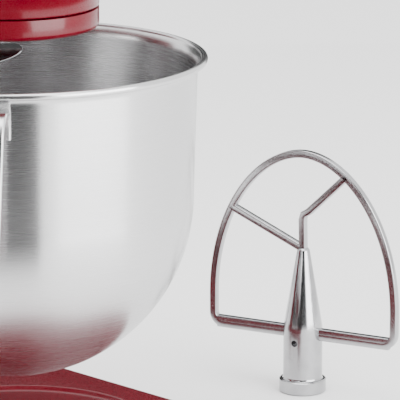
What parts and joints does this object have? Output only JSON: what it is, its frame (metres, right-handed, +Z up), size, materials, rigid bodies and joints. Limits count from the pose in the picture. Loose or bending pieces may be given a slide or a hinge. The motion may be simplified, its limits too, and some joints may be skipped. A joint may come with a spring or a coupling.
{
  "type": "stand mixer",
  "caption": "Bowl-lift stand mixer with a glossy red cast body, a brushed steel bowl and a planetary drive holding a dough hook, its flat beater standing beside it.",
  "frame": {"origin": "on the worktop under the feet, on the bowl's and the planetary's vertical axis", "axes": "+Z up, -Y to the mixer's front, +X to the operator's right, on the lift lever's side"},
  "size_m": [0.4145, 0.3784, 0.419],
  "materials": {
    "red_enamel": "high-gloss red enamel on die-cast metal, with a faint orange peel",
    "brushed_stainless": "stainless sheet, brushed round the bowl, polished on the rim",
    "polished_steel": "polished stainless or plated steel, with fine wear",
    "machined_steel": "turned and milled steel",
    "cast_iron": "plain iron and laminated steel, lightly oiled",
    "bronze": "sintered bronze and brass, oiled",
    "copper_winding": "enamelled copper wire and bars",
    "black_plastic": "black moulded plastic, fine texture",
    "black_rubber": "moulded rubber, matt",
    "circuit_board": "phenolic board with a moulded relay block"
  },
  "bodies": {
    "stand": {"base_casting": "red_enamel", "rubber_feet": "black_rubber", "column": "red_enamel", "column_bolts": "machined_steel", "lift_guide_rods": "machined_steel", "gearcase": "red_enamel", "motor_housing": "red_enamel", "end_cover": "red_enamel", "housing_screws": "machined_steel", "trim_band": "brushed_stainless", "ring_gear": "cast_iron", "ball_bearings": "machined_steel", "gear_bracket": "cast_iron", "bronze_bushes": "bronze", "motor_end_bells": "cast_iron", "motor_stator": "cast_iron", "field_coils": "copper_winding", "brush_holders": "bronze", "brush_caps": "black_plastic", "hub_socket": "polished_steel", "hub_cap_pin": "polished_steel", "control_plate": "brushed_stainless", "speed_control_board": "circuit_board", "cord_gland": "black_rubber"},
    "bowl_lift": {"lift_yoke": "red_enamel", "slider_block": "cast_iron", "locating_pins": "polished_steel", "latch_spring": "brushed_stainless", "bowl_shell": "brushed_stainless", "bowl_handle": "brushed_stainless", "bowl_brackets": "brushed_stainless"},
    "lift_handle": {"lift_crank_shaft": "machined_steel", "lift_lever": "polished_steel", "lever_grip": "black_plastic"},
    "planetary": {"planetary_hub": "red_enamel", "main_shaft": "machined_steel", "planetary_pin": "machined_steel", "center_gear": "cast_iron", "center_bevel_gear": "cast_iron", "planet_bush": "bronze"},
    "tool_shaft": {"agitator_shaft": "machined_steel", "planet_pinion": "cast_iron", "agitator_pin": "machined_steel", "shaft_spring": "polished_steel", "dough_hook": "polished_steel"},
    "reduction_shaft": {"pinion_shaft": "machined_steel", "drive_pinion": "cast_iron", "worm_wheel": "bronze"},
    "motor_rotor": {"armature_shaft": "machined_steel", "armature_core": "cast_iron", "commutator": "copper_winding", "cooling_fan": "black_plastic"},
    "hub_drive": {"hub_drive_shaft": "machined_steel", "hub_bevel_gear": "cast_iron"},
    "speed_control": {"speed_lever": "polished_steel", "speed_knob": "black_plastic"},
    "thumb_screw": {"hub_thumb_screw": "black_plastic"},
    "hub_cover": {"hub_cap": "polished_steel"},
    "loose_beater": {"flat_beater": "polished_steel"}
  },
  "joints": [
    {"name": "bowl_lift_slide", "type": "slide", "parent": "stand", "child": "bowl_lift", "axis": [0, 0, 1], "range_m": [-0.034, 0]},
    {"name": "lift_lever_turn", "type": "hinge", "parent": "stand", "child": "lift_handle", "pos_m": [0, 0.18795, 0.193], "axis": [1, 0, 0], "range_deg": [0, 80]},
    {"name": "planetary_spin", "type": "hinge", "parent": "stand", "child": "planetary", "pos_m": [0, 0, 0.2803], "axis": [0, 0, 1], "continuous": true},
    {"name": "tool_spin", "type": "hinge", "parent": "planetary", "child": "tool_shaft", "pos_m": [-0.02451, 0.02057, 0.263], "axis": [0, 0, 1], "continuous": true},
    {"name": "reduction_spin", "type": "hinge", "parent": "stand", "child": "reduction_shaft", "pos_m": [0.028, 0.05755, 0.325], "axis": [0, 0, 1], "continuous": true},
    {"name": "motor_spin", "type": "hinge", "parent": "stand", "child": "motor_rotor", "pos_m": [0, 0.05755, 0.362], "axis": [0, 1, 0], "continuous": true},
    {"name": "hub_drive_spin", "type": "hinge", "parent": "stand", "child": "hub_drive", "pos_m": [0, -0.03, 0.357], "axis": [0, 1, 0], "continuous": true},
    {"name": "speed_lever_swing", "type": "hinge", "parent": "stand", "child": "speed_control", "pos_m": [-0.02, 0.18055, 0.343], "axis": [0, 0, 1], "range_deg": [0, 40]},
    {"name": "thumb_screw_turn", "type": "hinge", "parent": "stand", "child": "thumb_screw", "pos_m": [-0.064, -0.063, 0.357], "axis": [1, 0, 0], "range_deg": [0, 720]},
    {"name": "hub_cap_hinge", "type": "hinge", "parent": "stand", "child": "hub_cover", "pos_m": [0, -0.0874, 0.387], "axis": [1, 0, 0], "range_deg": [-110, 0]},
    {"name": "loose_beater_lift", "type": "slide", "parent": "stand", "child": "loose_beater", "axis": [0, 0, 1], "range_m": [0, 0.15]}
  ],
  "couplings": [
    {"joint": "lift_lever_turn", "follows": "bowl_lift_slide", "rad_per_m": -41.067},
    {"joint": "tool_spin", "follows": "planetary_spin", "ratio": -3.4615},
    {"joint": "reduction_spin", "follows": "planetary_spin", "ratio": -3},
    {"joint": "motor_spin", "follows": "planetary_spin", "ratio": -30},
    {"joint": "hub_drive_spin", "follows": "planetary_spin", "ratio": -1}
  ]
}
